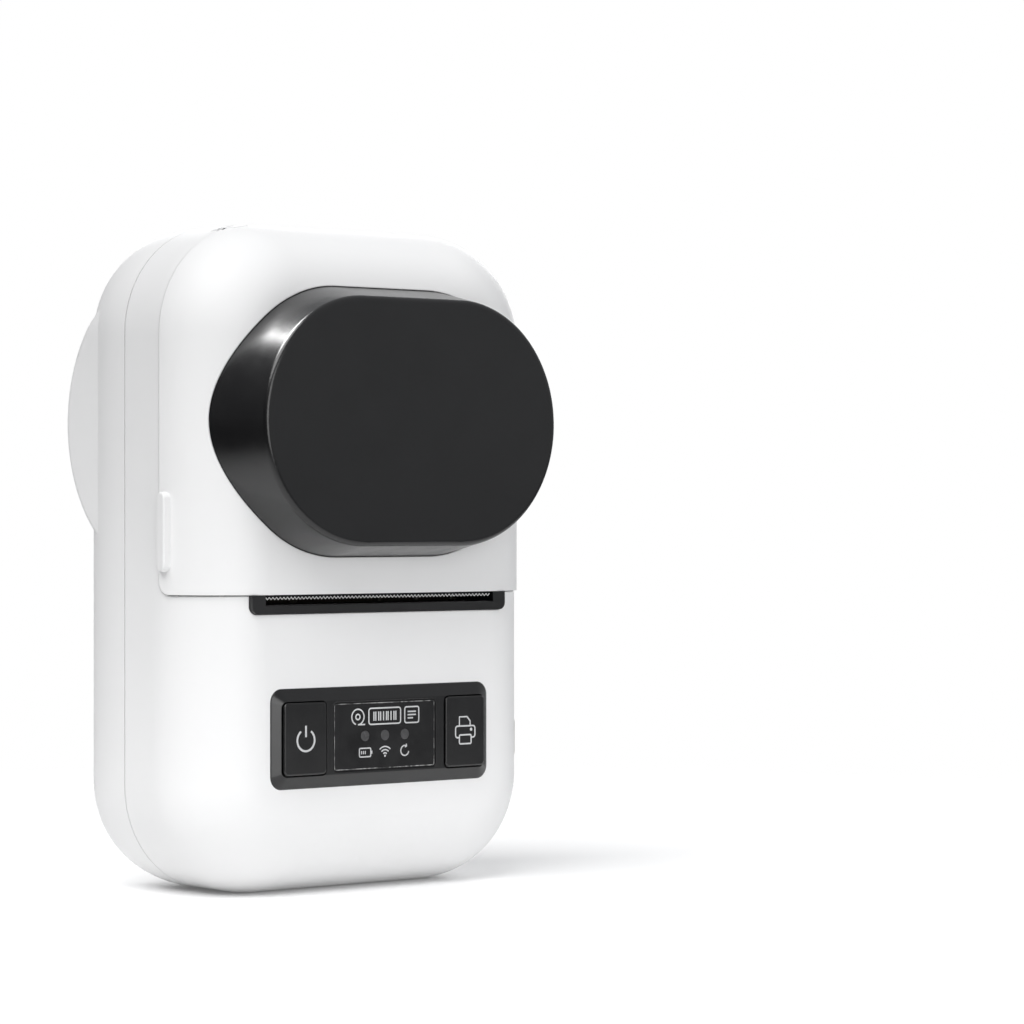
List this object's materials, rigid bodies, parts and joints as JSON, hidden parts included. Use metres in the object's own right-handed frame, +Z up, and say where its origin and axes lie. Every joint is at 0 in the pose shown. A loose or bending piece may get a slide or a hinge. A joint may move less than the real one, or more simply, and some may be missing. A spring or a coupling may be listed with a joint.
{
  "type": "thermal label printer",
  "caption": "Upright pocket label printer: white hinged-lid casing, black roll cover, front label slot, panel with two keys, print head, platen and gear drive inside.",
  "frame": {"origin": "middle of the flat strip under the casing that it stands on, at the middle of the casing's own depth", "axes": "+Z up, +X to the right seen from the front, -Y out of the front face where the labels leave"},
  "size_m": [0.0846, 0.0569, 0.125],
  "materials": {
    "white_abs": "gloss moulded ABS",
    "white_matte": "fine matte moulded ABS",
    "cream_pom": "semi-gloss moulded acetal",
    "black_gloss": "high gloss black polycarbonate",
    "black_satin": "satin black ABS",
    "smoked_window": "smoked acrylic",
    "clear_acrylic": "clear acrylic",
    "led_resin": "moulded LED package",
    "circuit_board": "solder-masked glass-epoxy",
    "chip_epoxy": "moulded epoxy",
    "tin_plate": "tinned steel shield",
    "stainless": "ground stainless steel",
    "zinc_steel": "zinc-plated steel",
    "aluminium": "extruded aluminium",
    "alumina": "glazed alumina ceramic",
    "platen_rubber": "ground silicone rubber",
    "battery_film": "aluminium-laminate pouch",
    "nylon_natural": "natural nylon"
  },
  "bodies": {
    "casing": {"rear_shell": "white_abs", "front_shell": "white_abs", "hinge_pin": "stainless", "exit_trim": "black_satin", "control_bezel": "black_gloss", "indicator_window": "smoked_window", "light_pipes": "clear_acrylic", "status_leds": "led_resin", "main_board": "circuit_board", "power_switch": "chip_epoxy", "feed_switch": "chip_epoxy", "usb_socket": "tin_plate", "controller_chip": "chip_epoxy", "radio_module": "tin_plate", "head_connector": "nylon_natural", "motor_connector": "nylon_natural", "battery": "battery_film", "inner_frame": "white_matte", "chassis": "black_satin", "head_pivot_pin": "stainless", "head_springs": "stainless", "gear_pins": "stainless", "motor": "tin_plate", "casing_screws": "zinc_steel", "board_screws": "zinc_steel", "chassis_screws": "zinc_steel"},
    "lid": {"lid": "white_abs", "roll_cover": "black_gloss", "tear_bar": "stainless", "platen_holder": "black_satin", "platen_bushings": "nylon_natural", "platen_holder_screws": "zinc_steel"},
    "platen": {"platen_shaft": "stainless", "platen_roller": "platen_rubber", "platen_gear": "nylon_natural"},
    "idler": {"idler_gear": "nylon_natural"},
    "reduction": {"reduction_gear": "nylon_natural"},
    "motor_rotor": {"motor_shaft": "stainless", "motor_pinion": "nylon_natural"},
    "head": {"print_head": "alumina", "heat_sink": "aluminium", "gap_sensor": "chip_epoxy"},
    "power_key": {"power_button": "black_gloss", "power_switch_plunger": "nylon_natural"},
    "feed_key": {"feed_button": "black_gloss", "feed_switch_plunger": "nylon_natural"},
    "roll_holder": {"roll_spindle": "cream_pom", "fixed_flange": "cream_pom"},
    "sliding_flange": {"sliding_flange": "cream_pom"}
  },
  "joints": [
    {"name": "lid_hinge", "type": "hinge", "parent": "casing", "child": "lid", "pos_m": [0, -0.0069, 0.1234], "axis": [-1, 0, 0], "range_deg": [0, 90]},
    {"name": "platen_spin", "type": "hinge", "parent": "lid", "child": "platen", "pos_m": [0, -0.0105, 0.0598], "axis": [1, 0, 0], "continuous": true},
    {"name": "idler_spin", "type": "hinge", "parent": "casing", "child": "idler", "pos_m": [0.0298, -0.00052, 0.05923], "axis": [1, 0, 0], "continuous": true},
    {"name": "reduction_spin", "type": "hinge", "parent": "casing", "child": "reduction", "pos_m": [0.0308, 0.00398, 0.05144], "axis": [1, 0, 0], "continuous": true},
    {"name": "motor_spin", "type": "hinge", "parent": "casing", "child": "motor_rotor", "pos_m": [0.0319, 0.00565, 0.04199], "axis": [1, 0, 0], "continuous": true},
    {"name": "head_pivot", "type": "hinge", "parent": "casing", "child": "head", "pos_m": [0, 0.00329, 0.0644], "axis": [1, 0, 0], "range_deg": [0, 3], "stiffness_Nm_per_rad": 0.6, "springref_deg": -2.86, "deforming": ["head_springs"]},
    {"name": "power_press", "type": "slide", "parent": "casing", "child": "power_key", "axis": [0, 1, 0], "range_m": [0, 0.0004], "stiffness_N_per_m": 600, "springref_m": -0.0004},
    {"name": "feed_press", "type": "slide", "parent": "casing", "child": "feed_key", "axis": [0, 1, 0], "range_m": [0, 0.0004], "stiffness_N_per_m": 600, "springref_m": -0.0004},
    {"name": "roll_spin", "type": "hinge", "parent": "casing", "child": "roll_holder", "pos_m": [0, -0.002, 0.088], "axis": [1, 0, 0], "continuous": true},
    {"name": "flange_slide", "type": "slide", "parent": "roll_holder", "child": "sliding_flange", "axis": [-1, 0, 0], "range_m": [0, 0.03]}
  ],
  "couplings": [
    {"joint": "idler_spin", "follows": "platen_spin", "ratio": -0.66667},
    {"joint": "reduction_spin", "follows": "platen_spin", "ratio": 1.3333},
    {"joint": "motor_spin", "follows": "platen_spin", "ratio": -4}
  ]
}
